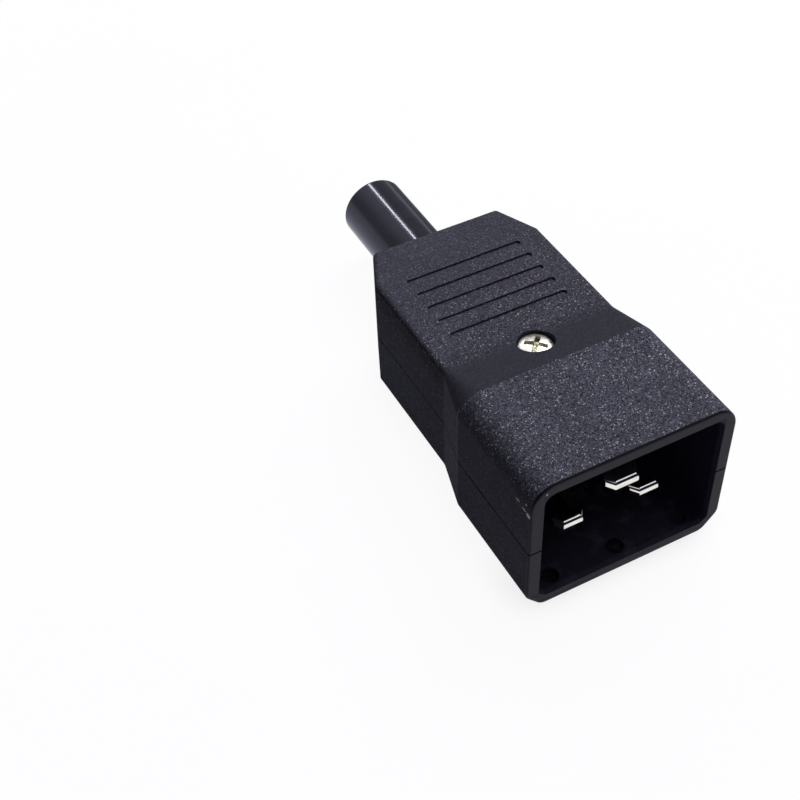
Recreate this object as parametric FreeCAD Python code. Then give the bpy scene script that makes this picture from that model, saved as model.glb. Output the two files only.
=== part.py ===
import FreeCAD, Part
import math
import os

# Rewireable mains plug with three flat pins in a square shroud and a flexible cable sleeve behind.
# The pins face -Y, the cable leaves along +Y, the housing screw is on top (+Z).
# Millimetres. Distances called depth are measured back from the front rim.

# Housing outside
HEAD_WIDTH = 33.4
HEAD_HEIGHT = 25.8
HEAD_PAST_MOUTH = 1.3
TRANSITION_LENGTH = 7.6
SIDE_STEP = 2.0
TOP_STEP = 2.05
REAR_CHAMFER_WIDTH = 3.3
REAR_CHAMFER_LENGTH = 7.4
HEAD_TOP_RADIUS = 4.0
BODY_TOP_RADIUS = 1.0
HEAD_BEVEL_WIDTH = 2.6
HEAD_BEVEL_HEIGHT = 3.0
HEAD_BEVEL_SOFTENING = 2.0
BODY_BEVEL_WIDTH = 1.3
BODY_BEVEL_HEIGHT = 1.5
BEVEL_SOFTENING = 0.9
NECK_BEND_RADIUS = 3.0
HEAD_BEND_RADIUS = 0.7
FRONT_EDGE_RADIUS = 0.4
REAR_EDGE_RADIUS = 0.7
SEAM_CHAMFER = 0.13

# Walls and clearances
HEAD_SIDE_WALL = 2.3
HEAD_TOP_WALL = 2.05
HEAD_FLOOR_WALL = 2.2
BODY_WALL = 2.0
REAR_WALL = 2.6
RIB = 1.2
FIT = 0.1
THREAD_FIT = 0.05
HOLE_CLEARANCE = 0.3

# Mouth of the shroud
MOUTH_DEPTH = 18.6
MOUTH_TOP_RADIUS = 1.8
MOUTH_FLOOR_BEVEL = 1.1
MOUTH_BEVEL_SOFTENING = 0.4
MOUTH_LEAD_IN = 0.25
MOUTH_LEAD_IN_DEPTH = 0.8
FLOOR_POCKET_DIAMETER = 2.8
FLOOR_POCKET_SPACING = 11.2
FLOOR_POCKET_BEHIND_LEAD_IN = 0.3
FLOOR_POCKET_SINK = 0.8

# Grip grooves and the bare label panel
GROOVE_WIDTH = 1.1
GROOVE_SINK = 0.32
GROOVE_LENGTH = 20.4
TOP_GROOVES = 5
TOP_GROOVE_PITCH = 3.42
TOP_GROOVE_TO_REAR = 9.4
UNDER_GROOVES = 3
UNDER_GROOVE_PITCH = 3.33
UNDER_GROOVE_BEHIND_PANEL = 2.6
PANEL_WIDTH = 19.4
PANEL_LENGTH = 8.3
PANEL_BEHIND_TRANSITION = 1.8
PANEL_SINK = 0.35

# Tongue and groove along the seam
TONGUE_INSET = 0.65
TONGUE_WIDTH = 0.7
TONGUE_HEIGHT = 0.9
TONGUE_FRONT_DEPTH = 3.0

# Pins and their carrier plate
PIN_SPACING = 13.0
EARTH_RISE = 8.0
PIN_ROWS_ABOVE_CENTRE = 0.15
PIN_THICKNESS = 2.0
POWER_PIN_WIDTH = 5.0
EARTH_PIN_WIDTH = 5.6
POWER_TIP_DEPTH = 4.25
EARTH_TIP_DEPTH = 1.5
TIP_SIDE_CHAMFER = 0.9
TIP_SIDE_CHAMFER_LENGTH = 1.2
TIP_NOSE_RADIUS = 0.85
TANG_WIDTH = 4.2
TANG_PAST_TERMINAL_MIDDLE = 2.6
PLATE_SETBACK = 1.0
PLATE_THICKNESS = 2.4
PLATE_GROOVE = 0.7
COLLAR_LENGTH = 3.6
COLLAR_WALL = 1.2
SHOULDER_LENGTH = 2.4
POWER_TANG_LEAD = 4.0

# Housing screw and its bosses
SCREW_SHANK = 2.9
SCREW_HEAD = 5.4
SCREW_HEAD_HEIGHT = 2.0
SCREW_HEAD_EDGE = 1.45
SCREW_HEAD_CLEARANCE = 0.2
SCREW_SEAT_BELOW_TOP = 2.0
SCREW_TIP_GAP = 1.2
COUNTERBORE_WALL = 1.4
BOSS_WALL = 0.9
BOSS_FLOOR = 1.0
CROSS_LENGTH = 3.6
CROSS_WIDTH = 0.8
CROSS_TURN = 47.0
CROSS_SINK = 1.0

# Earth eye that the screw boss passes through, and the step down of its tang
EYE_WALL = 1.6
EYE_BEHIND_PLATE = 0.6
DROP_LENGTH = 3.6
EARTH_TANG_LEAD = 0.6

# Box terminals, their screws and the walls between them
TERMINAL_LENGTH = 7.5
TERMINAL_SIDE = 0.9
TERMINAL_FLOOR = 1.2
TERMINAL_ROOF = 2.4
TERMINAL_EDGE = 0.4
TERMINAL_TO_WALL = 1.0
WIRE_ROOM = 2.6
TERMINAL_SCREW = 3.4
TERMINAL_SCREW_HEAD = 4.4
TERMINAL_SCREW_HEAD_HEIGHT = 1.4
SCREW_HEAD_GAP = 0.2
SCREW_TO_ROOF = 0.9
SLOT_WIDTH = 0.7
SLOT_SINK = 0.7
BARRIER_SHARE = 0.4

# Cord clamp, its cradle and its screws
WIRE_RUN = 1.9
CLAMP_LENGTH = 5.0
CLAMP_THICKNESS = 1.8
CLAMP_TO_WALL = 1.3
CLAMP_TO_RIB = 1.8
CRADLE_LENGTH = 3.0
CLAMP_SCREW_SHANK = 2.5
CLAMP_SCREW_HEAD = 4.4
CLAMP_SCREW_HEAD_HEIGHT = 1.7
CLAMP_SCREW_REACH = 6.0
CLAMP_POST_WALL = 1.0
CORD_CLEARANCE = 0.5
CORD_HOLE_CLEARANCE = 0.7

# Cable sleeve
SLEEVE_BORE = 8.9
SLEEVE_WALL = 1.2
SLEEVE_REACH = 23.3
SLEEVE_FLANGE_RISE = 1.55
SLEEVE_FLANGE_THICKNESS = 1.9
SLEEVE_LIP_RADIUS = 0.35

# Depths, from the rim to the rear wall, each built on the one before
HEAD_LENGTH = MOUTH_DEPTH + HEAD_PAST_MOUTH
BODY_DEPTH = HEAD_LENGTH + TRANSITION_LENGTH
PLATE_FRONT = MOUTH_DEPTH + PLATE_SETBACK
PLATE_REAR = PLATE_FRONT + PLATE_THICKNESS
COLLAR_REAR = PLATE_REAR + COLLAR_LENGTH
SHOULDER_REAR = COLLAR_REAR + SHOULDER_LENGTH
POWER_TERMINAL_DEPTH = SHOULDER_REAR + POWER_TANG_LEAD
SHANK_HOLE_RADIUS = SCREW_SHANK / 2 + HOLE_CLEARANCE / 2
BOSS_RADIUS = SHANK_HOLE_RADIUS + BOSS_WALL
EYE_HOLE_RADIUS = BOSS_RADIUS + HOLE_CLEARANCE
EYE_RADIUS = EYE_HOLE_RADIUS + EYE_WALL
SCREW_DEPTH = PLATE_REAR + EYE_BEHIND_PLATE + math.sqrt(EYE_RADIUS ** 2 - (EARTH_PIN_WIDTH / 2) ** 2)
DROP_FRONT = SCREW_DEPTH + EYE_RADIUS
DROP_REAR = DROP_FRONT + DROP_LENGTH
EARTH_TERMINAL_DEPTH = DROP_REAR + EARTH_TANG_LEAD
CLAMP_FRONT = EARTH_TERMINAL_DEPTH + TERMINAL_LENGTH + WIRE_RUN
CLAMP_REAR = CLAMP_FRONT + CLAMP_LENGTH
CLAMP_DEPTH = (CLAMP_FRONT + CLAMP_REAR) / 2
RIB_FRONT = CLAMP_REAR + CLAMP_TO_RIB
RIB_REAR = RIB_FRONT + RIB
FLANGE_FRONT = RIB_REAR + FIT
REAR_WALL_FRONT = FLANGE_FRONT + SLEEVE_FLANGE_THICKNESS + FIT
HOUSING_LENGTH = REAR_WALL_FRONT + REAR_WALL
CHAMFER_DEPTH = HOUSING_LENGTH - REAR_CHAMFER_LENGTH
OVERALL_LENGTH = HOUSING_LENGTH + SLEEVE_REACH
FRONT = -OVERALL_LENGTH / 2
PANEL_FRONT = BODY_DEPTH + PANEL_BEHIND_TRANSITION
PANEL_REAR = PANEL_FRONT + PANEL_LENGTH

# Half widths and radii
HEAD_HALF = HEAD_WIDTH / 2
BODY_HALF = HEAD_HALF - SIDE_STEP
MOUTH_HALF = HEAD_HALF - HEAD_SIDE_WALL
CHAMBER_HALF = BODY_HALF - BODY_WALL
PLATE_HALF = CHAMBER_HALF + PLATE_GROOVE
WINDOW_HALF = TANG_WIDTH / 2 + FIT
TERMINAL_HALF = WINDOW_HALF + TERMINAL_SIDE
POWER_TERMINAL_X = CHAMBER_HALF - TERMINAL_TO_WALL - TERMINAL_HALF
COUNTERBORE_RADIUS = SCREW_HEAD / 2 + SCREW_HEAD_CLEARANCE
SLEEVE_RADIUS = SLEEVE_BORE / 2 + SLEEVE_WALL
FLANGE_RADIUS = SLEEVE_RADIUS + SLEEVE_FLANGE_RISE
CLAMP_INNER_RADIUS = SLEEVE_BORE / 2 - CORD_CLEARANCE / 2
CLAMP_OUTER_RADIUS = CLAMP_INNER_RADIUS + CLAMP_THICKNESS
CLAMP_HALF = CHAMBER_HALF - CLAMP_TO_WALL
CLAMP_SCREW_X = (CLAMP_OUTER_RADIUS + CLAMP_HALF) / 2

# Heights
BODY_BOTTOM = TOP_STEP
BODY_TOP = HEAD_HEIGHT - TOP_STEP
SEAM_Z = HEAD_HEIGHT / 2
MOUTH_FLOOR = HEAD_FLOOR_WALL
MOUTH_ROOF = HEAD_HEIGHT - HEAD_TOP_WALL
CHAMBER_FLOOR = BODY_BOTTOM + BODY_WALL
CHAMBER_ROOF = BODY_TOP - BODY_WALL
PLATE_BOTTOM = CHAMBER_FLOOR - PLATE_GROOVE
PLATE_TOP = CHAMBER_ROOF + PLATE_GROOVE
POWER_Z = (MOUTH_FLOOR + MOUTH_ROOF) / 2 + PIN_ROWS_ABOVE_CENTRE - EARTH_RISE / 2
EARTH_Z = POWER_Z + EARTH_RISE
TANG_TOP_TO_SCREW_TOP = WIRE_ROOM + TERMINAL_ROOF + SCREW_HEAD_GAP + TERMINAL_SCREW_HEAD_HEIGHT
EARTH_TANG_Z = CHAMBER_ROOF - SCREW_TO_ROOF - TANG_TOP_TO_SCREW_TOP - PIN_THICKNESS / 2
TANG_DROP = EARTH_Z - EARTH_TANG_Z
SCREW_SEAT_Z = BODY_TOP - SCREW_SEAT_BELOW_TOP
SCREW_TIP_Z = CHAMBER_FLOOR + BOSS_FLOOR + SCREW_TIP_GAP
CLAMP_SEAT_Z = SEAM_Z + FIT


def vector(x, depth, z):
    """Point of the plug from its distance behind the front rim."""
    return FreeCAD.Vector(x, FRONT + depth, z)


def block(half_width, depth0, depth1, z0, z1, x=0.0):
    """Box that is centred on x."""
    return Part.makeBox(2 * half_width, depth1 - depth0, z1 - z0, vector(x - half_width, depth0, z0))


def upright(x, depth, z0, z1, radius):
    """Vertical cylinder."""
    return Part.makeCylinder(radius, z1 - z0, vector(x, depth, z0))


def lengthwise(depth0, depth1, radius, z=SEAM_Z):
    """Cylinder along the cable."""
    return Part.makeCylinder(radius, depth1 - depth0, vector(0, depth0, z), FreeCAD.Vector(0, 1, 0))


def rounded_wire(points, radii):
    """Closed outline with a tangent arc at each corner."""
    starts, middles, ends = [], [], []
    for i, corner in enumerate(points):
        to_last = (points[i - 1] - corner).normalize()
        to_next = (points[(i + 1) % len(points)] - corner).normalize()
        half_angle = to_last.getAngle(to_next) / 2
        run = radii[i] / math.tan(half_angle)
        inward = (to_last + to_next).normalize()
        starts.append(corner + to_last * run)
        ends.append(corner + to_next * run)
        middles.append(corner + inward * (radii[i] / math.sin(half_angle) - radii[i]))
    edges = []
    for i in range(len(points)):
        edges.append(Part.Arc(starts[i], middles[i], ends[i]).toShape())
        edges.append(Part.makeLine(ends[i], starts[(i + 1) % len(points)]))
    return Part.Wire(edges)


def outline(points, normal, distance):
    """Flat face of straight edges, pushed out by a distance along its normal."""
    face = Part.Face(Part.makePolygon(points + points[:1]))
    return face.extrude(normal * distance)


def plan_prism(points, z0, z1):
    """Prism of a plan given as pairs of x and depth."""
    return outline([vector(x, depth, z0) for x, depth in points], FreeCAD.Vector(0, 0, 1), z1 - z0)


def side_prism(points, half_width, x=0.0):
    """Prism of a side profile given as pairs of depth and z."""
    corners = [vector(x - half_width, depth, z) for depth, z in points]
    return outline(corners, FreeCAD.Vector(1, 0, 0), 2 * half_width)


def hull_section(depth, half, bottom, top, top_radius, bevel_width, bevel_height, softening):
    """Cross section of the housing: round upper corners, bevelled lower ones."""
    corners = [(-half, top), (half, top), (half, bottom + bevel_height), (half - bevel_width, bottom),
               (-half + bevel_width, bottom), (-half, bottom + bevel_height)]
    radii = [top_radius] * 2 + [softening] * 4
    return rounded_wire([vector(x, depth, z) for x, z in corners], radii)


def head_section(depth):
    """Section of the wide head that holds the shroud."""
    return hull_section(depth, HEAD_HALF, 0.0, HEAD_HEIGHT, HEAD_TOP_RADIUS,
                        HEAD_BEVEL_WIDTH, HEAD_BEVEL_HEIGHT, HEAD_BEVEL_SOFTENING)


def body_section(depth, narrowing=0.0):
    """Section of the slimmer body behind the head."""
    return hull_section(depth, BODY_HALF - narrowing, BODY_BOTTOM, BODY_TOP, BODY_TOP_RADIUS,
                        BODY_BEVEL_WIDTH, BODY_BEVEL_HEIGHT, BEVEL_SOFTENING)


def edges_at(shape, depth):
    """Edges that lie in the cross plane at a depth."""
    y = FRONT + depth
    spans = [(edge, edge.BoundBox) for edge in shape.Edges]
    return [edge for edge, box in spans if abs(box.YMin - y) < 1e-6 and abs(box.YMax - y) < 1e-6]


def straight(section, length):
    """Section pushed straight back."""
    return Part.Face(section).extrude(FreeCAD.Vector(0, length, 0))


def housing_outside():
    """Closed outer form of the housing, with soft bends and rounded front and rear edges."""
    head = straight(head_section(0.0), HEAD_LENGTH)
    neck = Part.makeLoft([head_section(HEAD_LENGTH), body_section(BODY_DEPTH)], True, True)
    body = straight(body_section(BODY_DEPTH), CHAMFER_DEPTH - BODY_DEPTH)
    end = body_section(HOUSING_LENGTH, REAR_CHAMFER_WIDTH)
    rear = Part.makeLoft([body_section(CHAMFER_DEPTH), end], True, True)
    hull = head.fuse([neck, body, rear])
    hull = hull.makeFillet(HEAD_BEND_RADIUS, edges_at(hull, HEAD_LENGTH))
    hull = hull.makeFillet(NECK_BEND_RADIUS, edges_at(hull, BODY_DEPTH))
    hull = hull.makeFillet(FRONT_EDGE_RADIUS, edges_at(hull, 0.0))
    return hull.makeFillet(REAR_EDGE_RADIUS, edges_at(hull, HOUSING_LENGTH))


def mouth_section(depth, growth=0.0):
    """Section of the shroud's mouth, which narrows a little behind the rim."""
    half = MOUTH_HALF + growth
    floor = MOUTH_FLOOR - growth
    roof = MOUTH_ROOF + growth
    corners = [(-half, roof), (half, roof), (half, floor + MOUTH_FLOOR_BEVEL),
               (half - MOUTH_FLOOR_BEVEL, floor), (-half + MOUTH_FLOOR_BEVEL, floor),
               (-half, floor + MOUTH_FLOOR_BEVEL)]
    radii = [MOUTH_TOP_RADIUS] * 2 + [MOUTH_BEVEL_SOFTENING] * 4
    return rounded_wire([vector(x, depth, z) for x, z in corners], radii)


def mouth():
    """Open room that the mating connector enters."""
    inner = mouth_section(MOUTH_LEAD_IN_DEPTH)
    lead_in = Part.makeLoft([mouth_section(0.0, MOUTH_LEAD_IN), inner], True, True)
    room = straight(inner, MOUTH_DEPTH - MOUTH_LEAD_IN_DEPTH)
    return lead_in.fuse(room)


def chamber_plan():
    """Plan of the wiring chamber, one wall inside the body and its rear corner chamfers."""
    slope = REAR_CHAMFER_WIDTH / REAR_CHAMFER_LENGTH
    chamfer_wall = BODY_WALL * math.hypot(1, slope)
    knee = CHAMFER_DEPTH - (chamfer_wall - BODY_WALL) / slope
    rear_half = CHAMBER_HALF - (REAR_WALL_FRONT - knee) * slope
    right = [(CHAMBER_HALF, MOUTH_DEPTH), (CHAMBER_HALF, knee), (rear_half, REAR_WALL_FRONT)]
    return right + [(-x, depth) for x, depth in reversed(right)]


def plate_groove():
    """Groove all round the chamber that the carrier plate stands in."""
    return block(PLATE_HALF, PLATE_FRONT, PLATE_REAR + FIT, PLATE_BOTTOM, PLATE_TOP)


def hollow():
    """Everything that is open inside the closed housing."""
    chamber = plan_prism(chamber_plan(), CHAMBER_FLOOR, CHAMBER_ROOF)
    chamber = chamber.cut(block(BODY_HALF, RIB_FRONT, RIB_REAR, BODY_BOTTOM, BODY_TOP))
    cord_hole = lengthwise(RIB_FRONT, RIB_REAR, SLEEVE_BORE / 2 + CORD_HOLE_CLEARANCE)
    sleeve_hole = lengthwise(REAR_WALL_FRONT, HOUSING_LENGTH, SLEEVE_RADIUS + HOLE_CLEARANCE)
    return mouth().fuse([chamber, plate_groove(), cord_hole, sleeve_hole])


def seam_plan(inset):
    """Plan of the housing at the seam, moved inwards."""
    rear_half = BODY_HALF - REAR_CHAMFER_WIDTH
    right = [(HEAD_HALF, 0.0), (HEAD_HALF, HEAD_LENGTH), (BODY_HALF, BODY_DEPTH),
             (BODY_HALF, CHAMFER_DEPTH), (rear_half, HOUSING_LENGTH)]
    left = [(-x, depth) for x, depth in reversed(right)]
    points = [vector(x, depth, SEAM_Z) for x, depth in right + left]
    wire = Part.makePolygon(points + points[:1])
    return wire.makeOffset2D(-inset, 2) if inset else wire


def tongue(clearance, height):
    """Upright lip that runs inside the wall along the seam, larger by the clearance all round."""
    outer = Part.Face(seam_plan(TONGUE_INSET - clearance))
    inner = Part.Face(seam_plan(TONGUE_INSET + TONGUE_WIDTH + clearance))
    lip = outer.cut(inner).extrude(FreeCAD.Vector(0, 0, height))
    front = TONGUE_FRONT_DEPTH - clearance
    return lip.common(block(HEAD_WIDTH, front, HOUSING_LENGTH, SEAM_Z, BODY_TOP))


def chamfer_seam(half):
    """Breaks the outer edge along the seam, which leaves a fine line between the shells."""
    spans = [(edge, edge.BoundBox) for edge in half.Edges]
    rim = [edge for edge, box in spans if abs(box.ZMin - SEAM_Z) < 1e-6 and abs(box.ZMax - SEAM_Z) < 1e-6]
    return half.makeChamfer(SEAM_CHAMFER, rim)


def groove(depth, z, sink):
    """Round-ended slot across the housing, sunk up or down from the face at z."""
    round_end = GROOVE_WIDTH / 2
    end_x = GROOVE_LENGTH / 2 - round_end
    low, high = sorted((z, z - sink))
    slot = block(end_x, depth - round_end, depth + round_end, low, high)
    ends = [upright(side * end_x, depth, low, high, round_end) for side in (-1, 1)]
    return slot.fuse(ends)


def upper_shell(outside, inside):
    """Top half of the housing, with the grip grooves, the screw hole and the upper boss."""
    half = outside.common(block(HEAD_WIDTH, 0.0, HOUSING_LENGTH, SEAM_Z, HEAD_HEIGHT))
    shell = chamfer_seam(half).cut(inside)
    well = upright(0, SCREW_DEPTH, SCREW_SEAT_Z - COUNTERBORE_WALL, CHAMBER_ROOF,
                   COUNTERBORE_RADIUS + COUNTERBORE_WALL)
    boss = upright(0, SCREW_DEPTH, SEAM_Z, CHAMBER_ROOF, BOSS_RADIUS)
    shell = shell.fuse(well.fuse(boss).cut(plate_groove()))
    cuts = [upright(0, SCREW_DEPTH, SCREW_SEAT_Z, HEAD_HEIGHT, COUNTERBORE_RADIUS),
            upright(0, SCREW_DEPTH, SEAM_Z, SCREW_SEAT_Z, SHANK_HOLE_RADIUS),
            tongue(FIT, TONGUE_HEIGHT + FIT)]
    for i in range(TOP_GROOVES):
        depth = HOUSING_LENGTH - TOP_GROOVE_TO_REAR - i * TOP_GROOVE_PITCH
        cuts.append(groove(depth, BODY_TOP, GROOVE_SINK))
    return shell.cut(cuts)


def cord_cradle():
    """Cross rib under the cord, hollowed to its round."""
    rib = block(CLAMP_SCREW_X, CLAMP_DEPTH - CRADLE_LENGTH / 2, CLAMP_DEPTH + CRADLE_LENGTH / 2,
                CHAMBER_FLOOR, SEAM_Z)
    return rib.cut(lengthwise(CLAMP_FRONT, CLAMP_REAR, CLAMP_INNER_RADIUS))


def terminal_nests():
    """Walls that part the earth terminal from the power ones, and stops behind the power terminals."""
    gap = POWER_TERMINAL_X - 2 * TERMINAL_HALF
    barrier_half = gap * BARRIER_SHARE / 2
    stop_front = POWER_TERMINAL_DEPTH + TERMINAL_LENGTH + FIT
    stop_top = POWER_Z - PIN_THICKNESS / 2
    walls = []
    for side in (-1, 1):
        walls.append(block(barrier_half, POWER_TERMINAL_DEPTH, stop_front + RIB, CHAMBER_FLOOR, SEAM_Z,
                           side * (TERMINAL_HALF + gap / 2)))
        walls.append(block(TERMINAL_HALF, stop_front, stop_front + RIB, CHAMBER_FLOOR, stop_top,
                           side * POWER_TERMINAL_X))
    return walls


def clamp_holes():
    """Pilot holes of the cord clamp's screws."""
    return [upright(side * CLAMP_SCREW_X, CLAMP_DEPTH, CLAMP_SEAT_Z - CLAMP_SCREW_REACH - BOSS_FLOOR,
                    CLAMP_SEAT_Z, CLAMP_SCREW_SHANK / 2 + THREAD_FIT) for side in (-1, 1)]


def floor_pockets():
    """Three round pockets in the floor of the mouth, just behind the rim."""
    radius = FLOOR_POCKET_DIAMETER / 2
    depth = MOUTH_LEAD_IN_DEPTH + FLOOR_POCKET_BEHIND_LEAD_IN + radius
    floor = MOUTH_FLOOR - FLOOR_POCKET_SINK
    return [upright(side * FLOOR_POCKET_SPACING, depth, floor, MOUTH_FLOOR, radius) for side in (-1, 0, 1)]


def lower_shell(outside, inside):
    """Bottom half of the housing, with the label panel, the lower boss and the inner seats."""
    half = outside.common(block(HEAD_WIDTH, 0.0, HOUSING_LENGTH, 0.0, SEAM_Z))
    shell = chamfer_seam(half).cut(inside)
    post_radius = CLAMP_SCREW_SHANK / 2 + CLAMP_POST_WALL
    posts = [upright(side * CLAMP_SCREW_X, CLAMP_DEPTH, CHAMBER_FLOOR, CLAMP_SEAT_Z, post_radius)
             for side in (-1, 1)]
    boss = upright(0, SCREW_DEPTH, CHAMBER_FLOOR, SEAM_Z, BOSS_RADIUS)
    lip = tongue(0.0, TONGUE_HEIGHT).cut(inside)
    shell = shell.fuse([lip, boss, cord_cradle()] + posts + terminal_nests())
    cuts = clamp_holes() + floor_pockets()
    pilot_radius = SCREW_SHANK / 2 + THREAD_FIT
    cuts.append(upright(0, SCREW_DEPTH, CHAMBER_FLOOR + BOSS_FLOOR, SEAM_Z, pilot_radius))
    panel_z = BODY_BOTTOM + PANEL_SINK
    cuts.append(block(PANEL_WIDTH / 2, PANEL_FRONT, PANEL_REAR, BODY_BOTTOM, panel_z))
    for i in range(UNDER_GROOVES):
        depth = PANEL_REAR + UNDER_GROOVE_BEHIND_PANEL + i * UNDER_GROOVE_PITCH
        cuts.append(groove(depth, BODY_BOTTOM, -GROOVE_SINK))
    return shell.cut(cuts)


def pin_carrier():
    """Insulating plate across the back of the mouth, with a collar round each power pin."""
    plate = block(PLATE_HALF - FIT, PLATE_FRONT, PLATE_REAR, PLATE_BOTTOM + FIT, PLATE_TOP - FIT)
    earth_half = EARTH_PIN_WIDTH / 2 + FIT
    slot_half = POWER_PIN_WIDTH / 2 + FIT
    slot_rise = PIN_THICKNESS / 2 + FIT
    collar_half = slot_half + COLLAR_WALL
    collar_rise = slot_rise + COLLAR_WALL
    cuts = [block(earth_half, PLATE_FRONT, PLATE_REAR, EARTH_Z - slot_rise, EARTH_Z + slot_rise),
            upright(0, SCREW_DEPTH, PLATE_BOTTOM, PLATE_TOP, BOSS_RADIUS + FIT)]
    for x in (-PIN_SPACING / 2, PIN_SPACING / 2):
        plate = plate.fuse(block(collar_half, PLATE_REAR, COLLAR_REAR,
                                 POWER_Z - collar_rise, POWER_Z + collar_rise, x))
        cuts.append(block(slot_half, PLATE_FRONT, COLLAR_REAR, POWER_Z - slot_rise, POWER_Z + slot_rise, x))
    return plate.cut(cuts)


def blade(x, z, width, tip_depth, end_depth):
    """Flat pin with a tip that narrows in plan and is rounded above and below."""
    half = width / 2
    tip_half = half - TIP_SIDE_CHAMFER
    thick = PIN_THICKNESS / 2
    side_end = tip_depth + TIP_SIDE_CHAMFER_LENGTH
    plan = [(x - tip_half, tip_depth), (x + tip_half, tip_depth), (x + half, side_end),
            (x + half, end_depth), (x - half, end_depth), (x - half, side_end)]
    pin = plan_prism(plan, z - thick, z + thick)
    spans = [(edge, edge.BoundBox) for edge in pin.Edges]
    nose = [edge for edge, box in spans if box.YMax < FRONT + side_end + 1e-6 and box.ZLength < 1e-6]
    return pin.makeFillet(TIP_NOSE_RADIUS, nose)


def power_pin(side):
    """Live or neutral pin: a shoulder stops it behind its collar, and its tang steps outwards."""
    x = side * PIN_SPACING / 2
    inner = x - side * POWER_PIN_WIDTH / 2
    tang_inner = side * (POWER_TERMINAL_X - TANG_WIDTH / 2)
    tang_outer = side * (POWER_TERMINAL_X + TANG_WIDTH / 2)
    tang_end = POWER_TERMINAL_DEPTH + TERMINAL_LENGTH / 2 + TANG_PAST_TERMINAL_MIDDLE
    plan = [(inner, COLLAR_REAR), (tang_outer, COLLAR_REAR), (tang_outer, tang_end),
            (tang_inner, tang_end), (tang_inner, SHOULDER_REAR), (inner, SHOULDER_REAR)]
    tang = plan_prism(plan, POWER_Z - PIN_THICKNESS / 2, POWER_Z + PIN_THICKNESS / 2)
    pin = blade(x, POWER_Z, POWER_PIN_WIDTH, POWER_TIP_DEPTH, COLLAR_REAR)
    return pin.fuse(tang).removeSplitter()


def earth_pin():
    """Longer pin with an eye round the screw boss and a tang that steps down to its terminal."""
    low = EARTH_Z - PIN_THICKNESS / 2
    high = EARTH_Z + PIN_THICKNESS / 2
    tang_end = EARTH_TERMINAL_DEPTH + TERMINAL_LENGTH / 2 + TANG_PAST_TERMINAL_MIDDLE
    bend = PIN_THICKNESS * math.tan(math.atan2(TANG_DROP, DROP_LENGTH) / 2)
    tang = side_prism([(SCREW_DEPTH, low), (SCREW_DEPTH, high), (DROP_FRONT, high),
                       (DROP_REAR, high - TANG_DROP), (tang_end, high - TANG_DROP),
                       (tang_end, low - TANG_DROP), (DROP_REAR - bend, low - TANG_DROP),
                       (DROP_FRONT - bend, low)], TANG_WIDTH / 2)
    pin = blade(0.0, EARTH_Z, EARTH_PIN_WIDTH, EARTH_TIP_DEPTH, SCREW_DEPTH)
    pin = pin.fuse([upright(0, SCREW_DEPTH, low, high, EYE_RADIUS), tang])
    return pin.cut(upright(0, SCREW_DEPTH, low, high, EYE_HOLE_RADIUS)).removeSplitter()


def terminal(x, front_depth, tang_z):
    """Brass box round a tang, with room for the wire on top of the tang and a tapped roof."""
    window_floor = tang_z - PIN_THICKNESS / 2
    window_roof = window_floor + PIN_THICKNESS + WIRE_ROOM
    rear_depth = front_depth + TERMINAL_LENGTH
    box = block(TERMINAL_HALF, front_depth, rear_depth,
                window_floor - TERMINAL_FLOOR, window_roof + TERMINAL_ROOF, x)
    long_edges = [e for e in box.Edges if e.BoundBox.YLength > TERMINAL_LENGTH / 2]
    box = box.makeChamfer(TERMINAL_EDGE, long_edges)
    window = block(WINDOW_HALF, front_depth, rear_depth, window_floor, window_roof, x)
    tapped = upright(x, front_depth + TERMINAL_LENGTH / 2, window_roof, window_roof + TERMINAL_ROOF,
                     TERMINAL_SCREW / 2 + THREAD_FIT)
    return box.cut([window, tapped])


def slotted_screw(x, depth, tip_z, seat_z, shank_radius, head_radius, head_height):
    """Cheese-head screw that points down, with a slot across its head."""
    shank = upright(x, depth, tip_z, seat_z, shank_radius)
    head = upright(x, depth, seat_z, seat_z + head_height, head_radius)
    slot = block(head_radius, depth - SLOT_WIDTH / 2, depth + SLOT_WIDTH / 2,
                 seat_z + head_height - SLOT_SINK, seat_z + head_height, x)
    return shank.fuse(head).cut(slot).removeSplitter()


def terminal_places():
    """Place of each terminal: side, front depth and height of its tang."""
    return {"live_terminal": (-POWER_TERMINAL_X, POWER_TERMINAL_DEPTH, POWER_Z),
            "neutral_terminal": (POWER_TERMINAL_X, POWER_TERMINAL_DEPTH, POWER_Z),
            "earth_terminal": (0.0, EARTH_TERMINAL_DEPTH, EARTH_TANG_Z)}


def terminal_screws():
    """The three clamping screws, each tightened down on its tang."""
    screws = []
    for x, front_depth, tang_z in terminal_places().values():
        tang_top = tang_z + PIN_THICKNESS / 2
        seat = tang_top + WIRE_ROOM + TERMINAL_ROOF + SCREW_HEAD_GAP
        screws.append(slotted_screw(x, front_depth + TERMINAL_LENGTH / 2, tang_top, seat,
                                    TERMINAL_SCREW / 2, TERMINAL_SCREW_HEAD / 2, TERMINAL_SCREW_HEAD_HEIGHT))
    return Part.makeCompound(screws)


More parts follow.
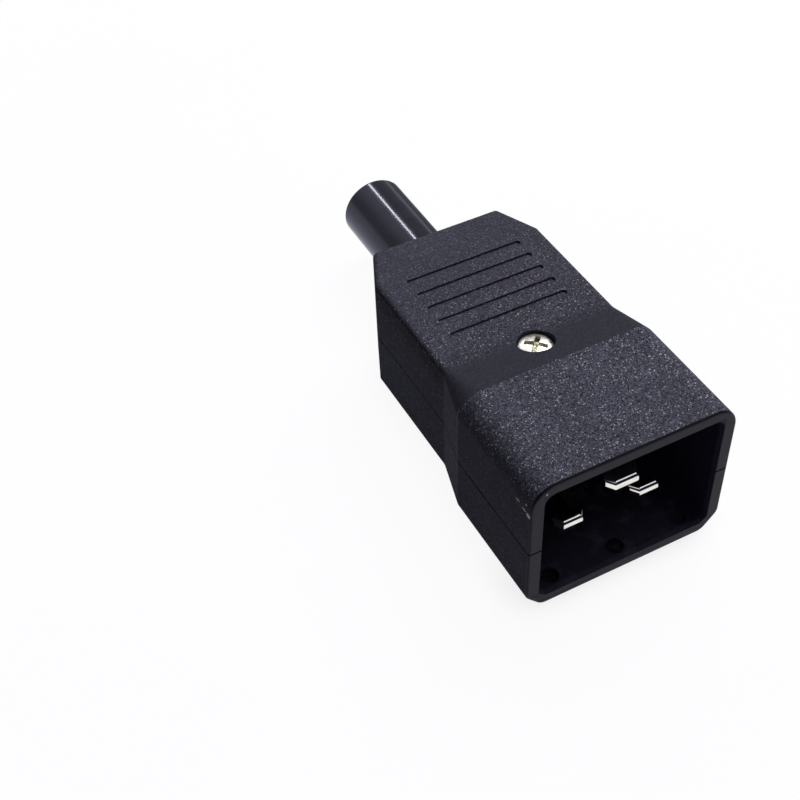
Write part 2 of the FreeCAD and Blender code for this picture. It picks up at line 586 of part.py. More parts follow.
def housing_screw():
    """Pan-head screw with a cross recess, turned from a half profile."""
    axis = vector(0, SCREW_DEPTH, 0)
    edge = SCREW_SEAT_Z + SCREW_HEAD_EDGE
    crown = SCREW_SEAT_Z + SCREW_HEAD_HEIGHT
    shank, head = SCREW_SHANK / 2, SCREW_HEAD / 2

    def at(radius, z):
        return axis + FreeCAD.Vector(radius, 0, z)

    rise = crown - edge
    dome_radius = (head ** 2 + rise ** 2) / (2 * rise)
    half_way = head / 2
    half_way_z = crown - dome_radius + math.sqrt(dome_radius ** 2 - half_way ** 2)
    line = Part.makePolygon([at(0, crown), at(0, SCREW_TIP_Z), at(shank / 2, SCREW_TIP_Z),
                             at(shank, SCREW_TIP_Z + shank), at(shank, SCREW_SEAT_Z),
                             at(head, SCREW_SEAT_Z), at(head, edge)])
    dome = Part.Arc(at(head, edge), at(half_way, half_way_z), at(0, crown)).toShape()
    screw = Part.Face(Part.Wire(line.Edges + [dome])).revolve(axis, FreeCAD.Vector(0, 0, 1), 360)
    long, wide = CROSS_LENGTH / 2, CROSS_WIDTH / 2
    floor = crown - CROSS_SINK
    cross = [block(long, SCREW_DEPTH - wide, SCREW_DEPTH + wide, floor, crown),
             block(wide, SCREW_DEPTH - long, SCREW_DEPTH + long, floor, crown)]
    for arm in cross:
        arm.rotate(axis, FreeCAD.Vector(0, 0, 1), CROSS_TURN)
    return screw.cut(cross)


def cord_clamp():
    """Saddle over the cord with an ear on each side."""
    arch = lengthwise(CLAMP_FRONT, CLAMP_REAR, CLAMP_OUTER_RADIUS)
    ears = block(CLAMP_HALF, CLAMP_FRONT, CLAMP_REAR, CLAMP_SEAT_Z, CLAMP_SEAT_Z + CLAMP_THICKNESS)
    saddle = arch.fuse(ears).cut(lengthwise(CLAMP_FRONT, CLAMP_REAR, CLAMP_INNER_RADIUS))
    saddle = saddle.common(block(HEAD_HALF, CLAMP_FRONT, CLAMP_REAR, CLAMP_SEAT_Z, BODY_TOP))
    holes = [upright(side * CLAMP_SCREW_X, CLAMP_DEPTH, CLAMP_SEAT_Z, BODY_TOP,
                     CLAMP_SCREW_SHANK / 2 + HOLE_CLEARANCE / 2) for side in (-1, 1)]
    return saddle.cut(holes).removeSplitter()


def cord_clamp_screws():
    """The two screws that pull the saddle down on its posts."""
    seat = CLAMP_SEAT_Z + CLAMP_THICKNESS
    return Part.makeCompound([
        slotted_screw(side * CLAMP_SCREW_X, CLAMP_DEPTH, CLAMP_SEAT_Z - CLAMP_SCREW_REACH, seat,
                      CLAMP_SCREW_SHANK / 2, CLAMP_SCREW_HEAD / 2, CLAMP_SCREW_HEAD_HEIGHT)
        for side in (-1, 1)])


def cable_sleeve():
    """Soft tube that guards the cord, with a flange caught inside the rear wall."""
    end = HOUSING_LENGTH + SLEEVE_REACH
    tube = lengthwise(FLANGE_FRONT, end, SLEEVE_RADIUS)
    flange = lengthwise(FLANGE_FRONT, FLANGE_FRONT + SLEEVE_FLANGE_THICKNESS, FLANGE_RADIUS)
    sleeve = tube.fuse(flange).cut(lengthwise(FLANGE_FRONT, end, SLEEVE_BORE / 2)).removeSplitter()
    return sleeve.makeFillet(SLEEVE_LIP_RADIUS, edges_at(sleeve, end))


def build():
    """All the pieces by name."""
    outside = housing_outside()
    inside = hollow()
    pieces = {"upper_shell": upper_shell(outside, inside), "lower_shell": lower_shell(outside, inside),
              "pin_carrier": pin_carrier(), "live_pin": power_pin(-1),
              "neutral_pin": power_pin(1), "earth_pin": earth_pin(),
              "terminal_screws": terminal_screws(), "housing_screw": housing_screw(),
              "cord_clamp": cord_clamp(), "cord_clamp_screws": cord_clamp_screws(),
              "cable_sleeve": cable_sleeve()}
    for name, (x, front_depth, tang_z) in terminal_places().items():
        pieces[name] = terminal(x, front_depth, tang_z)
    return pieces


os.makedirs("parts", exist_ok=True)
for name, shape in build().items():
    shape.exportStep(f"parts/{name}.step")
    box = shape.BoundBox
    print(f"{name:18s} solids {len(shape.Solids)} valid {shape.isValid()} volume {shape.Volume:8.2f}",
          f"size {box.XLength:.2f} x {box.YLength:.2f} x {box.ZLength:.2f}")
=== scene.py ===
"""Looks of a rewireable appliance plug: grained black shells, plated pins, a plated screw and a glossy
cable sleeve, lying on a white floor under soft studio light."""

import bpy
from mathutils import Matrix, Vector

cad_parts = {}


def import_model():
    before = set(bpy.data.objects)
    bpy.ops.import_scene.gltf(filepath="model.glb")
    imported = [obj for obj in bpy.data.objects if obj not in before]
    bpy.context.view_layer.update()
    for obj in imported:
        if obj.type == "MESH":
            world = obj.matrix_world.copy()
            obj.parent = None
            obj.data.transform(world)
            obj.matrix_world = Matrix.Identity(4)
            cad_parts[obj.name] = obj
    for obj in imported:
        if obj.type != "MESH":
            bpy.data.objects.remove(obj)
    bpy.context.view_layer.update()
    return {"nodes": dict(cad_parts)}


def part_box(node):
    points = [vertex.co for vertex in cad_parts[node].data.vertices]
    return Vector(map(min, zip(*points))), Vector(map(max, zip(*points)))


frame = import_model()

MM = 0.001

# Which material each CAD node wears
NODES_OF_LOOK = {
    "grained_shell": ("upper_shell", "lower_shell"),
    "smooth_carrier": ("pin_carrier",),
    "smooth_clamp": ("cord_clamp",),
    "nickel_pin": ("live_pin", "neutral_pin", "earth_pin"),
    "brass_terminal": ("live_terminal", "neutral_terminal", "earth_terminal"),
    "plated_screw": ("terminal_screws", "cord_clamp_screws"),
    "cross_screw": ("housing_screw",),
    "vinyl_sleeve": ("cable_sleeve",),
}

# Zones of the shells, in millimetres: boxes by their low and high corners, fades by where they start and end
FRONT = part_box("upper_shell")[0].y / MM
RIM_FADE = (FRONT + 0.12, FRONT + 0.05)
# Painted shade: a thin dark line along the outer edge of the front face
EDGE_SHADE_LINE_FADE = (FRONT + 0.42, FRONT + 0.34)
SEAM = 12.9
SEAM_FADE = (0.2, 0.1)
MOUTH_BOX = ((-14.7, -60.0, 1.3), (14.7, -21.3, 24.05))
# Painted shade in the mouth: darker deeper inside and on its right wall, and in the pockets of its floor
MOUTH_FADE = (FRONT + 1.0, FRONT + 13.0)
MOUTH_FLOOR = 2.2
MOUTH_WEAR_TOP = MOUTH_FLOOR + 0.4
RIGHT_WALL_FADE = (9.0, 14.0)
POCKETS_FRONT = FRONT + 0.95
POCKETS_TOP = MOUTH_FLOOR - 0.06
POCKETS_FADE = (2.0, 8.0)
LIP_STREAKS_TOP = MOUTH_FLOOR + 1.5
PANEL_BOX = ((-9.75, -10.75, 0.0), (9.75, -2.35, 2.65))
NECK_FRONT = -20.0
NECK_REAR = -14.0
NECK_FRONT_FADE = (NECK_FRONT - 0.3, NECK_FRONT)
NECK_REAR_FADE = (NECK_REAR + 4.5, NECK_REAR)
NECK_RISE = (18.0, 21.0)
# Painted highlight: a pale line on the upright edges behind the head
EDGE_HIGHLIGHT_SIDE = 15.0
EDGE_HIGHLIGHT_FADE = (0.22, 0.08)
GRAIN_FADE = (-22.0, 18.0)
# Painted shade on the sides: darker towards the top, most of all under the upper left edge of the body
SIDE_RISE = (5.0, 20.0)
BAND_RISE = (17.5, 22.5)
BAND_LEFT_FADE = (-11.0, -14.0)
BAND_FRONT_FADE = (NECK_REAR, NECK_REAR + 2.0)

# The grain: cells to a millimetre, how it is skewed about its middle, and which cells are bright specks,
# painted glints
GRAIN_CELLS = 7.4
GRAIN_SKEW = 1.2
GRAIN_MIDDLE = 0.45
GLINT_SPECK_CELLS = 6.2
GLINT_SPECKS_FROM = 0.93

# Depth of the surfaces' relief, in millimetres
GRAIN_RELIEF = 0.03
PLASTIC_RELIEF = 0.006
METAL_RELIEF = 0.0015
SCREW_RELIEF = 0.008
SLEEVE_RELIEF = 0.003

# Depths between which the screw's recess turns dull, in millimetres
RECESS_DEPTHS = (0.3, 0.8)

# How far the dull cut edge of the sleeve reaches, in millimetres
SLEEVE_CUT_EDGE = 0.4

# Colours of the shells
GRAIN_DARK = (0.007, 0.007, 0.009, 1)
GRAIN_PALE = (0.121, 0.119, 0.167, 1)
# Painted glints, as bright specks in the grain
GLINT_SPECK = (0.41, 0.41, 0.47, 1)
# Neck colours: darker and without specks, partly its smooth finish and partly painted shade
NECK_GRAIN_SHADE_DARK = (0.018, 0.018, 0.025, 1)
NECK_GRAIN_SHADE_PALE = (0.039, 0.039, 0.054, 1)
# Painted highlight on the upright edges behind the head
EDGE_HIGHLIGHT = (0.13, 0.13, 0.145, 1)
PANEL = (0.02, 0.02, 0.024, 1)
# Painted shade line along the outer edge of the front face
EDGE_SHADE_LINE = (0.005, 0.005, 0.007, 1)
RIM = (0.056, 0.054, 0.065, 1)
LIP_STREAK = (0.018, 0.017, 0.023, 1)
NICK = (0.9, 0.9, 0.92, 1)
SEAM_LINE = (0.004, 0.004, 0.005, 1)
MOUTH_NEAR = (0.037, 0.034, 0.056, 1)
# Painted shade deep in the mouth and on its right wall
MOUTH_DEEP_SHADE = (0.012, 0.011, 0.021, 1)
MOUTH_RIGHT_SHADE = (0.019, 0.017, 0.036, 1)
MOUTH_WORN = (0.062, 0.058, 0.084, 1)
# Painted shade in the pockets of the mouth's floor, darker at the left
POCKET_SHADE_LEFT = (0.012, 0.011, 0.018, 1)
POCKET_SHADE_RIGHT = (0.034, 0.032, 0.05, 1)

# Colours of the metals, dull and bright
NICKEL = ((0.74, 0.72, 0.68, 1), (0.86, 0.84, 0.8, 1))
BRASS = ((0.6, 0.43, 0.18, 1), (0.82, 0.63, 0.31, 1))
PLATED_STEEL = ((0.56, 0.53, 0.47, 1), (0.74, 0.71, 0.64, 1))
SCREW_TOP = ((0.52, 0.51, 0.46, 1), (0.7, 0.69, 0.64, 1))
SCREW_RECESS = ((0.1, 0.095, 0.055, 1), (0.55, 0.52, 0.38, 1))

# Nicks in the shell: middle in millimetres, and how much each axis is shrunk
SCUFFS = (
    ((-16.6, -39.25, 20.75), (1.2, 1.6, 2.0)),
    ((-16.6, -38.2, 20.95), (1.2, 1.6, 6.0)),
    ((-16.6, -36.6, 21.3), (1.2, 1.8, 6.0)),
    ((-16.2, -38.6, 22.3), (1.2, 3.0, 4.0)),
    ((-14.4, -39.95, 24.45), (5.5, 1.5, 4.5)),
)

# Where the plug touches the floor, in millimetres along the plug and above its own base
HEAD_CONTACT = (-20.1, 0.0)
BODY_CONTACT = (16.7, 2.05)
FLOOR_CLEARANCE = 0.02
FLOOR_HALF_SIZE = 4000.0

# Floor: how bright it shows, its contact shadow, and where mirrors see it dimmer or cooler, in millimetres
WHITE = (0.99, 0.99, 1.0, 1)
COOL_WHITE = (0.85, 0.87, 1.0, 1)
PAPER = ((0.42, 0.42, 0.43, 1), (0.45, 0.45, 0.46, 1))
PAPER_SHADE = ((0.032, 0.032, 0.036, 1), (0.042, 0.042, 0.046, 1))
FLOOR_GLOW = 0.968
CONTACT_REACH = 6.0
CONTACT_SAMPLES = 8
CONTACT_FADE = (FRONT + 4.0, FRONT + 14.0)
DIM_RIGHT_FADE = (15.0, 22.0)
DIM_REAR_FADE = (10.0, 25.0)
DIM_GLOW = 0.15
COOL_FADE = (-10.0, 10.0)

# Surround: its colour in mirrors, and strengths that change with the direction, a unit vector
SKY = (0.9, 0.92, 1.0, 1)
LEFT_FADE = (-0.65, -0.15, 0.5, 1.0)
RIGHT_FADE = (0.15, 0.27, 1.0, 0.3)
HORIZON_FADE = (0.4, 0.0)
VIEWER_FADE = (-0.35, 0.2, 0.04, 1.0)
WINDOW_FRONT_FADE = (-0.1, -0.2)
WINDOW_RISE = (0.66, 0.72)
FILL_RIGHT_FADE = (-0.35, 0.5, 0.0, 0.24)
FILL_FRONT_FADE = (0.1, -0.7, 0.0, 0.14)

# Lamps: place, target and size in millimetres, and power in watts
LAMPS = {
    "key": ((340, 190, 540), (0, 0, 10), (420, 420), 4.35),
    "strip": ((90, 486, 466), (0, 30, 12), (34, 200), 0.54),
}

# Camera, in millimetres
CAMERA_PLACE = Vector((-80.365, -133.636, 158.686))
CAMERA_FORWARD = Vector((0.30457, 0.63043, -0.71399))
CAMERA_UP = Vector((0.35074, 0.62266, 0.69949))
CAMERA_NEAREST = 5.0
FOCAL_LENGTH = 60.218
SENSOR_WIDTH = 36.0


class Graph:
    """The node tree of a material or of the world, with short calls for the nodes that they share."""

    def __init__(self, owner):
        owner.use_nodes = True
        self.owner = owner
        self.tree = owner.node_tree
        self.tree.nodes.clear()

    def node(self, kind, inputs=None, **settings):
        """A new node, with its settings, and its inputs either linked or given a value."""
        new = self.tree.nodes.new(kind)
        for name, value in settings.items():
            setattr(new, name, value)
        for name, value in (inputs or {}).items():
            self.feed(new.inputs[name], value)
        return new

    def feed(self, socket, value):
        if isinstance(value, bpy.types.NodeSocket):
            self.tree.links.new(value, socket)
        else:
            socket.default_value = value

    def place(self):
        """The point on the part, in millimetres."""
        metres = self.node("ShaderNodeTexCoord").outputs["Object"]
        return self.node("ShaderNodeVectorMath", {0: metres, "Scale": 1 / MM}, operation="SCALE").outputs[0]

    def axes(self, place):
        return self.node("ShaderNodeSeparateXYZ", {0: place}).outputs

    def level(self):
        """1 where the surface faces straight up or down, 0 where it is upright."""
        normal = self.node("ShaderNodeTexCoord").outputs["Normal"]
        return self.math("ABSOLUTE", self.axes(normal)[2])

    def math(self, operation, first, second=0.0):
        return self.node("ShaderNodeMath", {0: first, 1: second}, operation=operation).outputs[0]

    def times(self, first, *others):
        """The product of all the values."""
        product = first
        for other in others:
            product = self.math("MULTIPLY", product, other)
        return product

    def ramp(self, value, low, high, low_out=0.0, high_out=1.0):
        """Runs from low_out to high_out as value goes from low to high, and holds beyond."""
        inputs = {"Value": value, "From Min": low, "From Max": high, "To Min": low_out, "To Max": high_out}
        return self.node("ShaderNodeMapRange", inputs, interpolation_type="SMOOTHSTEP").outputs[0]

    def pick(self, switch, off, on):
        """One value where the switch is 0, and the other where it is 1."""
        return self.ramp(switch, 0.0, 1.0, off, on)

    def near(self, value, middle, far, close):
        """1 within close of the middle, and 0 beyond far."""
        return self.ramp(self.math("ABSOLUTE", self.math("SUBTRACT", value, middle)), far, close)

    def noise(self, place, scale, detail=2.0, roughness=0.5):
        inputs = {"Vector": place, "Scale": scale, "Detail": detail, "Roughness": roughness}
        return self.node("ShaderNodeTexNoise", inputs).outputs["Fac"]

    def cells(self, place, scale):
        """A random number for each cell of a crazed pattern."""
        pattern = self.node("ShaderNodeTexVoronoi", {"Vector": place, "Scale": scale, "Randomness": 1.0})
        return self.node("ShaderNodeSeparateColor", {0: pattern.outputs["Color"]}).outputs[0]

    def stretched(self, place, factors):
        return self.node("ShaderNodeVectorMath", {0: place, 1: factors}, operation="MULTIPLY").outputs[0]

    def blend(self, factor, low, high):
        """Colour between low and high."""
        inputs = {"Factor": factor, 6: low, 7: high}
        return self.node("ShaderNodeMix", inputs, data_type="RGBA").outputs[2]

    def bump(self, height, depth):
        """Normal of a relief of that depth in millimetres."""
        inputs = {"Height": height, "Strength": 1.0, "Distance": depth * MM}
        return self.node("ShaderNodeBump", inputs).outputs[0]

    def camera_rays(self):
        """1 for the rays that the camera sees directly."""
        return self.node("ShaderNodeLightPath").outputs["Is Camera Ray"]

    def background_rays(self):
        """1 for the rays that show the background, 0 for those that light the object."""
        path = self.node("ShaderNodeLightPath").outputs
        seen = self.math("MAXIMUM", path["Is Camera Ray"], path["Is Glossy Ray"])
        return self.math("MAXIMUM", seen, path["Is Transmission Ray"])

    def finish(self, shader, kind="ShaderNodeOutputMaterial"):
        output = self.node(kind)
        self.tree.links.new(shader.outputs[0], output.inputs["Surface"])
        return self.owner

    def principled(self, inputs):
        return self.finish(self.node("ShaderNodeBsdfPrincipled", inputs))


def material_graph(name):
    return Graph(bpy.data.materials.new(name))


def grey(value, blue=0.0):
    """A near-grey colour with a little more blue."""
    return (value, value, value * (1 + blue), 1.0)


def inside_box(graph, axes, box):
    """1 inside a box, and 0 outside it."""
    tests = []
    for axis, low, high in zip(axes, *box):
        tests.append(graph.math("GREATER_THAN", axis, low))
        tests.append(graph.math("LESS_THAN", axis, high))
    return graph.times(*tests)


def painted_side_shade(graph, axes, level):
    """Painted shade: darkens the sides towards the top, most of all under the upper left edge of the body.
    """
    x, y, z = axes
    left = graph.times(graph.ramp(x, *BAND_LEFT_FADE), graph.ramp(y, *BAND_FRONT_FADE))
    under = graph.times(graph.ramp(z, *BAND_RISE), left)
    side = graph.times(graph.ramp(z, *SIDE_RISE, 1.2, 0.8), graph.pick(under, 1.0, 0.2))
    return graph.ramp(level, 0.35, 0.8, side, 1.0)


def grain_colour(graph, place, axes, level, grain):
    """Fine dark grain with brighter specks, strongest on the top of the head; the specks are painted glints.
    """
    y = axes[1]
    cloud = graph.ramp(graph.noise(place, 0.12, detail=3.0), 0.3, 0.7, 0.88, 1.0)
    along = graph.ramp(y, *GRAIN_FADE, 1.0, 0.5)
    # Painted glints: grain and specks show stronger on faces that look up or down than on the sides
    contrast = graph.ramp(level, 0.1, 0.7, 0.6, along)
    skewed = graph.math("SUBTRACT", graph.math("POWER", grain, GRAIN_SKEW), GRAIN_MIDDLE)
    even = graph.math("ADD", graph.times(skewed, contrast), GRAIN_MIDDLE)
    body = graph.ramp(y, *NECK_FRONT_FADE, 1.0, 0.84)
    # The shade holds random clouds of tone, the painted side shade, and a darker body behind the head
    shade = graph.times(cloud, painted_side_shade(graph, axes, level), body)
    plain = graph.blend(graph.times(even, shade), GRAIN_DARK, GRAIN_PALE)
    glint_specks = graph.ramp(graph.cells(place, GLINT_SPECK_CELLS), GLINT_SPECKS_FROM, 1.0)
    return graph.blend(graph.times(glint_specks, contrast, contrast), plain, GLINT_SPECK)


def neck_zone(graph, axes):
    """1 on the smooth slope between head and body, fading out to the rear and down the sides; its colour
    there is partly painted shade.
    """
    _, y, z = axes
    along = graph.times(graph.ramp(y, *NECK_FRONT_FADE), graph.ramp(y, *NECK_REAR_FADE))
    return graph.times(along, graph.ramp(z, *NECK_RISE))


def painted_edge_highlight(graph, axes, level):
    """1 on the upright edges behind the head, where a pale line is painted as a highlight."""
    x, y, _ = axes
    beside = graph.math("GREATER_THAN", graph.math("ABSOLUTE", x), EDGE_HIGHLIGHT_SIDE)
    return graph.times(graph.near(y, NECK_FRONT, *EDGE_HIGHLIGHT_FADE), beside, graph.ramp(level, 0.5, 0.25))


def seam_line(graph, axes):
    """1 along the seam of the head."""
    _, y, z = axes
    on_head = graph.math("LESS_THAN", y, NECK_FRONT)
    return graph.times(graph.near(z, SEAM, *SEAM_FADE), on_head)


def scuffs(graph, place):
    """1 in a few short nicks by the front left corner of the head."""
    nicks = None
    for middle, stretch in SCUFFS:
        away = graph.node("ShaderNodeVectorMath", {0: place, 1: middle}, operation="SUBTRACT").outputs[0]
        spread = graph.node("ShaderNodeVectorMath", {0: graph.stretched(away, stretch)}, operation="LENGTH")
        nick = graph.ramp(spread.outputs["Value"], 1.0, 0.5)
        nicks = nick if nicks is None else graph.math("MAXIMUM", nicks, nick)
    return nicks


def mouth_colour(graph, place, axes):
    """Smooth blue-black walls and a slightly worn floor, with painted shade deep inside, on the right wall
    and in the blotched pockets.
    """
    x, y, z = axes
    # Painted shade deeper inside and on the right wall
    walls = graph.blend(graph.ramp(y, *MOUTH_FADE), MOUTH_NEAR, MOUTH_DEEP_SHADE)
    walls = graph.blend(graph.ramp(x, *RIGHT_WALL_FADE), walls, MOUTH_RIGHT_SHADE)
    wear = graph.ramp(graph.noise(place, 0.4, detail=3.0), 0.5, 0.75)
    low = graph.ramp(z, MOUTH_WEAR_TOP, MOUTH_FLOOR)
    colour = graph.blend(graph.times(low, wear), walls, MOUTH_WORN)
    # Painted shade in the pockets, broken up by noise
    sunk = graph.math("LESS_THAN", z, POCKETS_TOP)
    behind = graph.math("GREATER_THAN", y, POCKETS_FRONT)
    pocket_blotch = graph.ramp(graph.noise(place, 0.9, detail=3.0), 0.35, 0.6, 0.3, 1.0)
    pocket_shade = graph.blend(graph.ramp(x, *POCKETS_FADE), POCKET_SHADE_LEFT, POCKET_SHADE_RIGHT)
    return graph.blend(graph.times(sunk, behind, pocket_blotch), colour, pocket_shade)


def rim_colour(graph, place, axes):
    """Smooth dark grey, streaked along the lower lip."""
    streaks = graph.noise(graph.stretched(place, (0.15, 1.0, 1.6)), 1.0, detail=3.0)
    low = graph.ramp(axes[2], LIP_STREAKS_TOP, MOUTH_FLOOR)
    return graph.blend(graph.times(graph.ramp(streaks, 0.42, 0.58), low), RIM, LIP_STREAK)


def grained_shell():
    """Black plastic from a spark-eroded mould: grained outside, smooth on the rim, in the mouth,
    on the neck and in the bare panel."""
    graph = material_graph("grained_shell")
    place = graph.place()
    axes = tuple(graph.axes(place))
    level = graph.level()
    grain = graph.cells(place, GRAIN_CELLS)
    neck = neck_zone(graph, axes)
    mouth = inside_box(graph, axes, MOUTH_BOX)
    panel = inside_box(graph, axes, PANEL_BOX)
    rim = graph.ramp(axes[1], *RIM_FADE)
    edge = graph.ramp(axes[1], *EDGE_SHADE_LINE_FADE)
    colour = grain_colour(graph, place, axes, level, grain)
    # Neck colour: partly its smooth finish, partly painted shade
    colour = graph.blend(neck, colour, graph.blend(grain, NECK_GRAIN_SHADE_DARK, NECK_GRAIN_SHADE_PALE))
    # Painted highlight on the upright edges behind the head
    colour = graph.blend(painted_edge_highlight(graph, axes, level), colour, EDGE_HIGHLIGHT)
    colour = graph.blend(panel, colour, PANEL)
    # Painted shade line along the outer edge of the front face
    colour = graph.blend(edge, colour, EDGE_SHADE_LINE)
    colour = graph.blend(rim, colour, rim_colour(graph, place, axes))
    colour = graph.blend(scuffs(graph, place), colour, NICK)
    colour = graph.blend(seam_line(graph, axes), colour, SEAM_LINE)
    colour = graph.blend(mouth, colour, mouth_colour(graph, place, axes))
    smooth = graph.math("MAXIMUM", graph.math("MAXIMUM", mouth, panel), edge)
    rough = graph.math("SUBTRACT", 1.0, smooth)
    fine = graph.noise(place, 7.0, detail=2.0, roughness=0.6)
    relief = graph.times(graph.math("ADD", fine, grain), rough, graph.math("SUBTRACT", 1.0, neck))
    return graph.principled({
        "Base Color": colour,
        "Roughness": graph.pick(rough, 0.42, 0.78),
        "Specular IOR Level": 0.06,
        "Normal": graph.bump(relief, GRAIN_RELIEF),
    })


def smooth_plastic(name, low, high, roughness):
    """Smooth moulded plastic with faint flow marks."""
    graph = material_graph(name)
    place = graph.place()
    flow = graph.noise(graph.stretched(place, (1.0, 0.4, 1.0)), 0.5, detail=4.0)
    fine = graph.noise(place, 6.0)
    return graph.principled({
        "Base Color": graph.blend(graph.ramp(flow, 0.3, 0.7), low, high),
        "Roughness": graph.ramp(flow, 0.2, 0.8, roughness, roughness + 0.12),
        "Specular IOR Level": 0.4,
        "Normal": graph.bump(fine, PLASTIC_RELIEF),
    })


def smooth_carrier():
    return smooth_plastic("smooth_carrier", grey(0.012, 0.3), grey(0.02, 0.3), 0.38)


def smooth_clamp():
    return smooth_plastic("smooth_clamp", grey(0.02), grey(0.036), 0.42)


def drawn_metal(name, colours, roughness, spread, along):
    """Plated or drawn metal, with fine scratches along one axis and a mottled polish."""
    graph = material_graph(name)
    place = graph.place()
    scratch = graph.noise(graph.stretched(place, along), 3.0, detail=4.0, roughness=0.65)
    mottle = graph.noise(place, 0.9, detail=3.0)
    return graph.principled({
        "Base Color": graph.blend(graph.ramp(mottle, 0.3, 0.7), *colours),
        "Metallic": 1.0,
        "Roughness": graph.ramp(scratch, 0.25, 0.75, roughness, roughness + spread),
        "Normal": graph.bump(scratch, METAL_RELIEF),
    })


def nickel_pin():
    return drawn_metal("nickel_pin", NICKEL, 0.05, 0.05, (4.0, 0.3, 4.0))


def brass_terminal():
    return drawn_metal("brass_terminal", BRASS, 0.24, 0.14, (0.4, 3.0, 3.0))


def plated_screw():
    return drawn_metal("plated_screw", PLATED_STEEL, 0.22, 0.14, (2.0, 2.0, 0.5))


def cross_screw():
    """Bright plated screw whose cross recess is blotched and dull."""
    graph = material_graph("cross_screw")
    place = graph.place()
    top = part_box("housing_screw")[1].z / MM
    starts, full = RECESS_DEPTHS
    recess = graph.ramp(graph.axes(place)[2], top - starts, top - full)
    mottle = graph.noise(place, 2.2, detail=4.0)
    blotch = graph.ramp(graph.noise(place, 3.4, detail=3.0), 0.42, 0.58)
    dull = graph.blend(blotch, *SCREW_RECESS)
    plated = graph.blend(graph.ramp(mottle, 0.35, 0.65), *SCREW_TOP)
    polish = graph.ramp(mottle, 0.2, 0.8, 0.28, 0.4)
    return graph.principled({
        "Base Color": graph.blend(recess, plated, dull),
        "Metallic": 1.0,
        "Roughness": graph.math("ADD", polish, graph.times(recess, 0.15)),
        "Normal": graph.bump(mottle, SCREW_RELIEF),
    })


def vinyl_sleeve():
    """Glossy soft vinyl with faint lines along the tube, a few duller patches and a dull cut edge."""
    graph = material_graph("vinyl_sleeve")
    place = graph.place()
    lines = graph.noise(graph.stretched(place, (1.0, 0.02, 1.0)), 2.5, detail=3.0)
    patches = graph.noise(place, 0.35, detail=4.0)
    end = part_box("cable_sleeve")[1].y / MM
    cut = graph.ramp(graph.axes(place)[1], end - SLEEVE_CUT_EDGE, end - 0.7 * SLEEVE_CUT_EDGE)
    gloss = graph.ramp(patches, 0.25, 0.75, 0.13, 0.17)
    return graph.principled({
        "Base Color": graph.blend(graph.ramp(patches, 0.3, 0.7), grey(0.01, 0.5), grey(0.014, 0.5)),
        "Roughness": graph.pick(cut, gloss, 0.9),
        "Specular IOR Level": 0.42,
        "Specular Tint": (0.78, 0.79, 1.0, 1),
        "Normal": graph.bump(lines, SLEEVE_RELIEF),
    })


def dress_nodes():
    """Gives every CAD node its material."""
    looks = {
        "grained_shell": grained_shell,
        "smooth_carrier": smooth_carrier,
        "smooth_clamp": smooth_clamp,
        "nickel_pin": nickel_pin,
        "brass_terminal": brass_terminal,
        "plated_screw": plated_screw,
        "cross_screw": cross_screw,
        "vinyl_sleeve": vinyl_sleeve,
    }
    for look, nodes in NODES_OF_LOOK.items():
        material = looks[look]()
        for node in nodes:
            for slot in frame["nodes"][node].material_slots:
                slot.material = material


def floor_glow(graph, place):
    """What the floor shows: white with a contact shadow to the camera, dimmer and cooler in mirrors."""
    x, y, _ = graph.axes(place)
    direct = graph.camera_rays()
    aside = graph.times(graph.ramp(x, *DIM_RIGHT_FADE), graph.ramp(y, *DIM_REAR_FADE))
    mirrored = graph.pick(aside, 1.0, DIM_GLOW)
    reach = {"Distance": CONTACT_REACH * MM}
    open_sky = graph.node("ShaderNodeAmbientOcclusion", reach, samples=CONTACT_SAMPLES).outputs["AO"]
    darkest = graph.ramp(y, *CONTACT_FADE, 0.87, 0.96)
    contact = graph.ramp(open_sky, 0.2, 0.95, darkest, 1.0)
    cool = graph.blend(graph.ramp(y, *COOL_FADE), WHITE, COOL_WHITE)
    return graph.node("ShaderNodeEmission", {
        "Color": graph.blend(direct, cool, WHITE),
        "Strength": graph.times(graph.pick(direct, mirrored, contact), FLOOR_GLOW),
    })


def floor_material():
    """White paper: it shows as white, keeps a soft shadow and throws little light back."""
    graph = material_graph("floor")
    place = graph.place()
    fibre = graph.noise(place, 0.02, detail=3.0)
    matt = graph.node("ShaderNodeBsdfDiffuse", {"Color": graph.blend(fibre, *PAPER)})
    shade = graph.node("ShaderNodeBsdfDiffuse", {"Color": graph.blend(fibre, *PAPER_SHADE)})
    glow = floor_glow(graph, place)
    shown = graph.node("ShaderNodeAddShader", {0: shade.outputs[0], 1: glow.outputs[0]})
    return graph.finish(graph.node("ShaderNodeMixShader", {
        0: graph.background_rays(),
        1: matt.outputs[0],
        2: shown.outputs[0],
    }))


def floor():
    """A wide sheet under the two edges that the plug lies on."""
    (head_y, head_z), (body_y, body_z) = HEAD_CONTACT, BODY_CONTACT
    slope = (body_z - head_z) / (body_y - head_y)
    points = []
    for across, along in ((-1, -1), (1, -1), (1, 1), (-1, 1)):
        x = across * FLOOR_HALF_SIZE
        y = along * FLOOR_HALF_SIZE
        points.append(Vector((x, y, head_z + slope * (y - head_y) - FLOOR_CLEARANCE)) * MM)
    mesh = bpy.data.meshes.new("floor")
    mesh.from_pydata(points, [], [(0, 1, 2, 3)])
    sheet = bpy.data.objects.new("floor", mesh)
    mesh.materials.append(floor_material())
    bpy.context.scene.collection.objects.link(sheet)


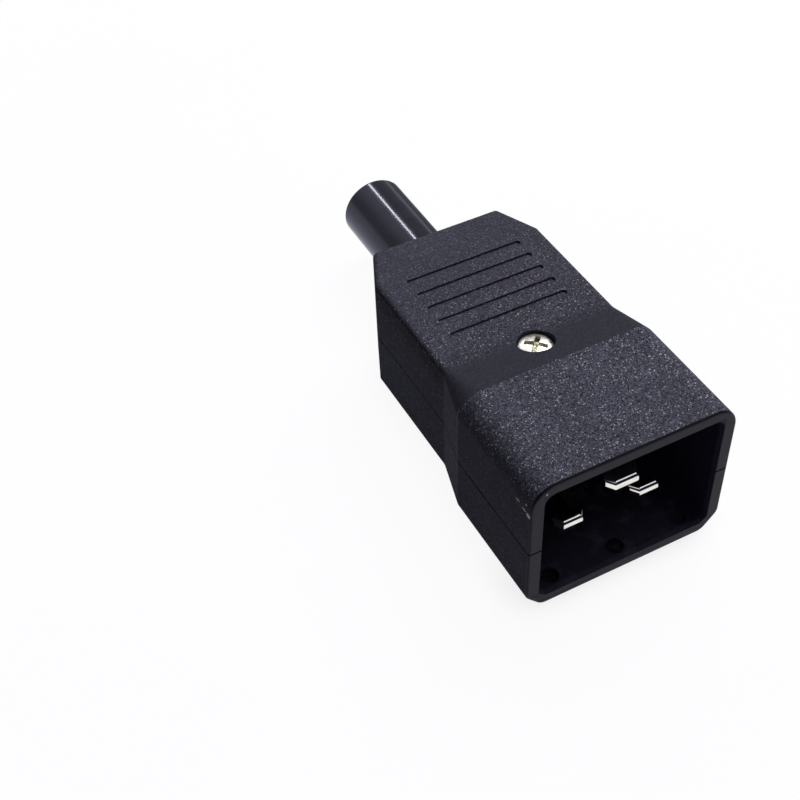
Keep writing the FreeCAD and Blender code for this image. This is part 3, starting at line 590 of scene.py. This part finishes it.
def world():
    """A dim fill from the right and the front. The camera sees white all round; mirrors see a bright
    surround behind the plug that is dark towards the viewer, apart from a window high up."""
    surround = bpy.data.worlds.new("surround")
    bpy.context.scene.world = surround
    graph = Graph(surround)
    x, y, z = graph.axes(graph.node("ShaderNodeTexCoord").outputs["Generated"])
    across = graph.times(graph.ramp(x, *LEFT_FADE), graph.ramp(x, *RIGHT_FADE))
    around = graph.math("MAXIMUM", across, graph.ramp(z, *HORIZON_FADE))
    behind = graph.times(around, graph.ramp(y, *VIEWER_FADE))
    window = graph.times(graph.ramp(y, *WINDOW_FRONT_FADE), graph.ramp(z, *WINDOW_RISE))
    mirrored = graph.math("MAXIMUM", behind, window)
    fill = graph.math("ADD", graph.ramp(x, *FILL_RIGHT_FADE), graph.ramp(y, *FILL_FRONT_FADE))
    direct = graph.camera_rays()
    background = graph.node("ShaderNodeBackground", {
        "Color": graph.blend(direct, SKY, WHITE),
        "Strength": graph.pick(graph.background_rays(), fill, graph.pick(direct, mirrored, 1.0)),
    })
    graph.finish(background, "ShaderNodeOutputWorld")


def softbox(name, place, target, size, power):
    """A rectangular lamp at a place in millimetres, turned to a target."""
    data = bpy.data.lights.new(name, "AREA")
    data.shape = "RECTANGLE"
    data.size, data.size_y = (s * MM for s in size)
    data.energy = power
    lamp = bpy.data.objects.new(name, data)
    lamp.location = Vector(place) * MM
    lamp.rotation_euler = (Vector(target) - Vector(place)).to_track_quat("-Z", "Y").to_euler()
    bpy.context.scene.collection.objects.link(lamp)


def lamps():
    for name, settings in LAMPS.items():
        softbox(name, *settings)


def camera():
    data = bpy.data.cameras.new("camera")
    data.lens = FOCAL_LENGTH
    data.sensor_width = SENSOR_WIDTH
    data.clip_start = CAMERA_NEAREST * MM
    eye = bpy.data.objects.new("camera", data)
    forward = CAMERA_FORWARD.normalized()
    right = forward.cross(CAMERA_UP).normalized()
    up = right.cross(forward)
    turn = Matrix((right, up, -forward)).transposed()
    eye.matrix_world = Matrix.Translation(CAMERA_PLACE * MM) @ turn.to_4x4()
    bpy.context.scene.collection.objects.link(eye)
    bpy.context.scene.camera = eye


dress_nodes()
floor()
world()
lamps()
camera()
bpy.context.scene.view_settings.view_transform = "Standard"
